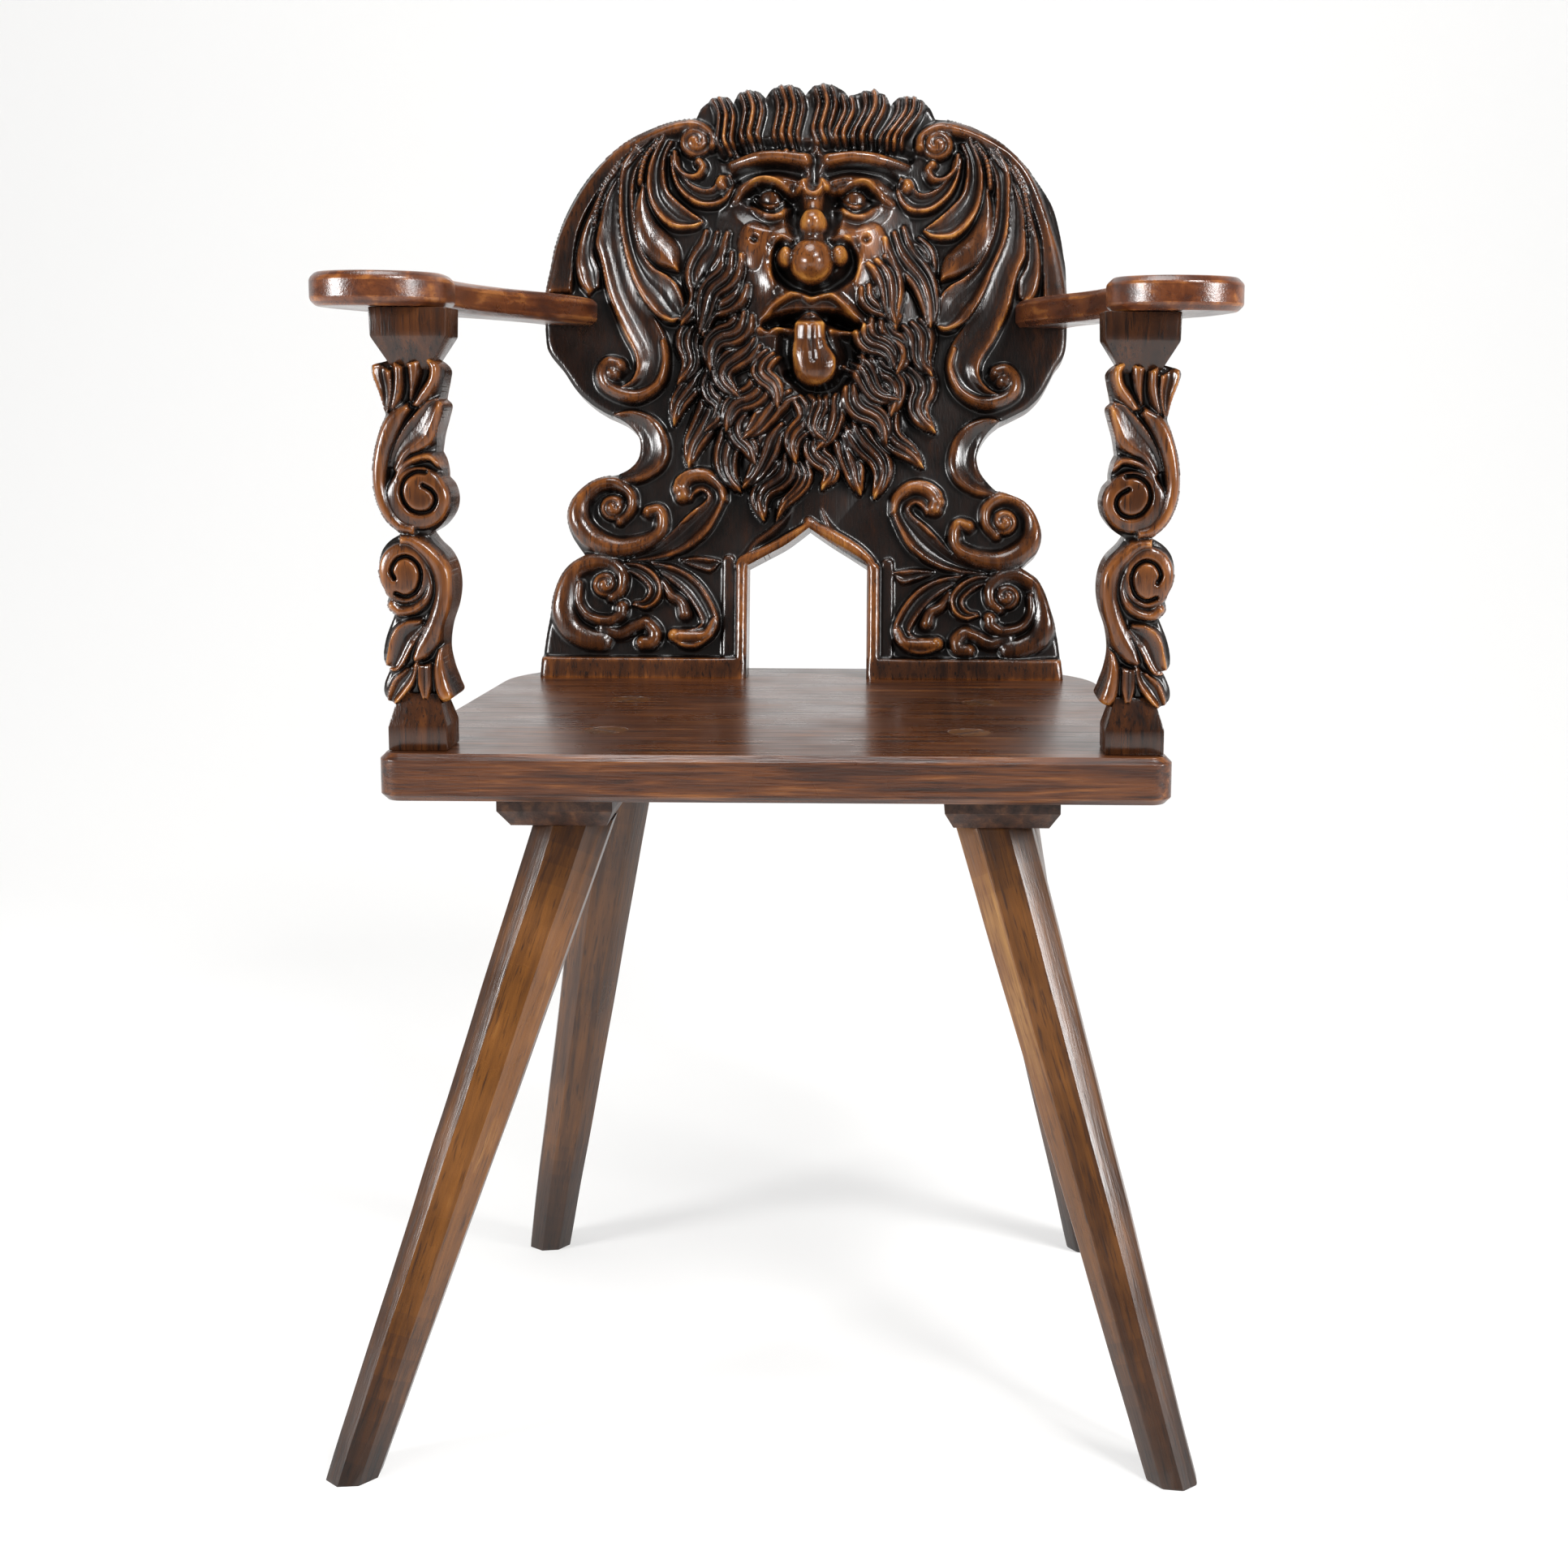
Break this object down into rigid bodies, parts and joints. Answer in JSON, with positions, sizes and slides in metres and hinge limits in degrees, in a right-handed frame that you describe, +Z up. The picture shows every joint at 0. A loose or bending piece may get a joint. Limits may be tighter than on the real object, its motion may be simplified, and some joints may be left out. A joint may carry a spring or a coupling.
{
  "type": "plank chair",
  "caption": "Carved wooden plank armchair: solid seat, leaning back board carved with a bearded grotesque mask and scrolls, splayed eight-sided legs.",
  "frame": {"origin": "on the floor, in the middle of the chair's width and depth", "axes": "+Z up, -Y the way the sitter faces, +X to the right of someone looking at the chair's front"},
  "size_m": [0.575, 0.5484, 0.9086],
  "materials": {
    "carved_walnut": "dark stained and waxed, worn lighter on the high edges, glossy",
    "seat_walnut": "dark reddish brown, waxed, grain running left to right",
    "arm_walnut": "waxed, worn by hands",
    "leg_walnut": "waxed, planed facets, scuffed at the feet",
    "underside_walnut": "dry, planed",
    "pin_walnut": "end grain, waxed over"
  },
  "bodies": {
    "root": {"back_board": "carved_walnut", "left_arm_post": "carved_walnut", "right_arm_post": "carved_walnut", "seat_plank": "seat_walnut", "left_arm": "arm_walnut", "right_arm": "arm_walnut", "front_left_leg": "leg_walnut", "front_right_leg": "leg_walnut", "rear_left_leg": "leg_walnut", "rear_right_leg": "leg_walnut", "left_batten": "underside_walnut", "right_batten": "underside_walnut", "left_back_key": "underside_walnut", "right_back_key": "underside_walnut", "front_left_leg_wedge": "pin_walnut", "front_right_leg_wedge": "pin_walnut", "rear_left_leg_wedge": "pin_walnut", "rear_right_leg_wedge": "pin_walnut", "left_arm_peg": "pin_walnut", "right_arm_peg": "pin_walnut"}
  },
  "joints": []
}
